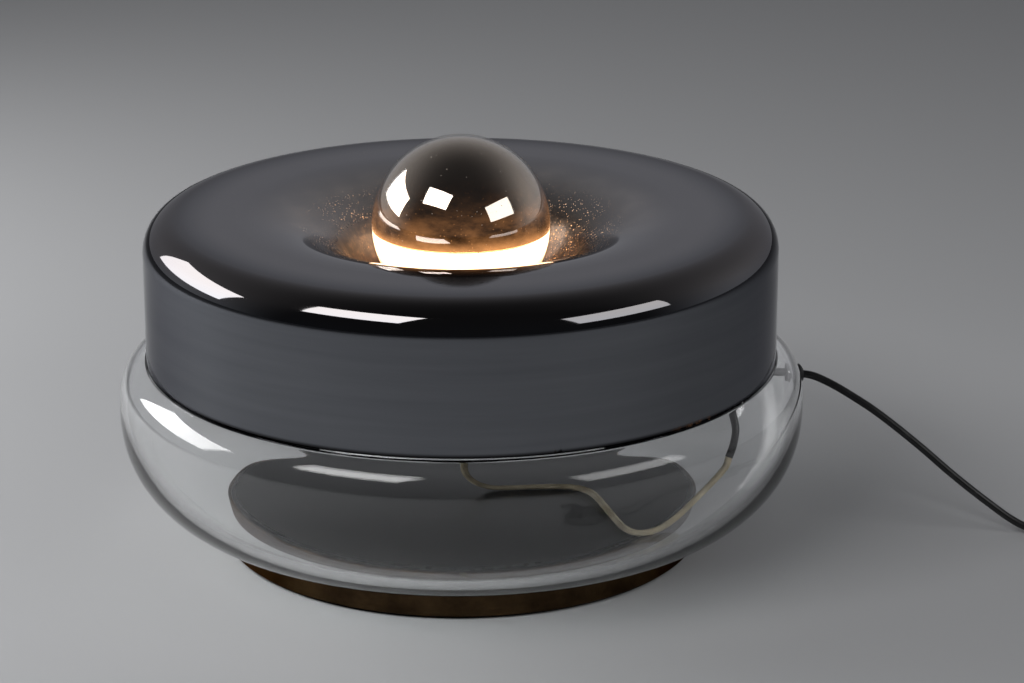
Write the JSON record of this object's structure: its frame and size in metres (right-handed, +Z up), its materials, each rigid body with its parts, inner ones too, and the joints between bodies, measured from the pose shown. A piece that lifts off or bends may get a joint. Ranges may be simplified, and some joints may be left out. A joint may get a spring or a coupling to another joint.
{
  "type": "floor lamp",
  "caption": "Squat glass floor lamp: a clear bowl on a brass-banded foot holds a mirrored shade whose funnel carries a crown-mirrored globe bulb; corded, with an in-line rocker switch.",
  "frame": {"origin": "on the floor, on the lamp's axis", "axes": "+Z up along the lamp's axis; +X points to where the cord leaves the bowl; the picture looks along +Y"},
  "size_m": [0.677, 0.7355, 0.2855],
  "materials": {
    "felt": "matte felt",
    "aged_brass": "aged, brown",
    "fibreboard": "raw board",
    "clear_glass": "clear blown glass",
    "smoked_mirror": "smoked, mirrored",
    "crown_mirror": "silvered inside",
    "bulb_glass": "clear glass, lit",
    "black_glass": "opaque glass",
    "cap_metal": "dull",
    "hot_wire": "glowing",
    "bakelite": "glossy black",
    "porcelain": "glazed",
    "contact_brass": "plain brass",
    "fibre": "pressed fibre",
    "steel": "plain",
    "black_rubber": "matte",
    "cord_black": "glossy sheath",
    "cream_lead": "heat-proof braid",
    "black_plastic": "satin",
    "rocker_plastic": "glossy"
  },
  "bodies": {
    "bowl": {"foot_felt": "felt", "base_band": "aged_brass", "base_plate": "fibreboard", "glass_pad": "felt", "clear_bowl": "clear_glass", "cord_grommet": "black_rubber", "lead_sleeve": "cord_black", "inner_lead": "cream_lead", "mains_cord": "cord_black", "cord_link": "cord_black", "cord_coil": "cord_black", "cord_tie": "black_rubber", "cord_tail": "cord_black", "switch_base": "black_plastic", "switch_cover": "black_plastic", "switch_reliefs": "cord_black", "plug_relief": "cord_black", "switch_axle": "steel", "switch_contacts": "contact_brass", "switch_screws": "steel", "plug_body": "black_plastic", "plug_pins": "contact_brass", "plug_sleeves": "black_plastic"},
    "shade": {"mirror_shade": "smoked_mirror", "washer_upper": "fibre", "washer_lower": "fibre", "ring_upper": "bakelite", "ring_lower": "bakelite", "holder_shell": "bakelite", "holder_insert": "porcelain", "screw_sleeve": "contact_brass", "holder_cap": "bakelite", "lead_bush": "bakelite", "terminal_screws": "contact_brass", "contact_spring": "steel"},
    "contact": {"contact_button": "contact_brass"},
    "bulb": {"bulb_globe": "bulb_glass", "bulb_crown": "crown_mirror", "bulb_screw_cap": "cap_metal", "bulb_insulator": "black_glass", "bulb_tip": "cap_metal", "bulb_stem": "bulb_glass", "bulb_wires": "steel", "bulb_hooks": "steel", "filament": "hot_wire"},
    "rocker": {"switch_rocker": "rocker_plastic", "switch_bridge": "contact_brass"}
  },
  "joints": [
    {"name": "shade_lift", "type": "slide", "parent": "bowl", "child": "shade", "axis": [0, 0, 1], "range_m": [0, 0.06], "deforming": ["inner_lead"]},
    {"name": "contact_travel", "type": "slide", "parent": "shade", "child": "contact", "axis": [0, 0, 1], "range_m": [0, 0.0025], "deforming": ["contact_spring"]},
    {"name": "bulb_turn", "type": "hinge", "parent": "contact", "child": "bulb", "pos_m": [0, 0, 0.223], "axis": [0, 0, 1], "range_deg": [0, 248]},
    {"name": "switch_rock", "type": "hinge", "parent": "bowl", "child": "rocker", "pos_m": [0.426, -0.123, 0.011], "axis": [1, 0, 0], "range_deg": [0, 16]}
  ],
  "couplings": [
    {"joint": "contact_travel", "follows": "bulb_turn", "m_per_rad": 0.00057757}
  ]
}
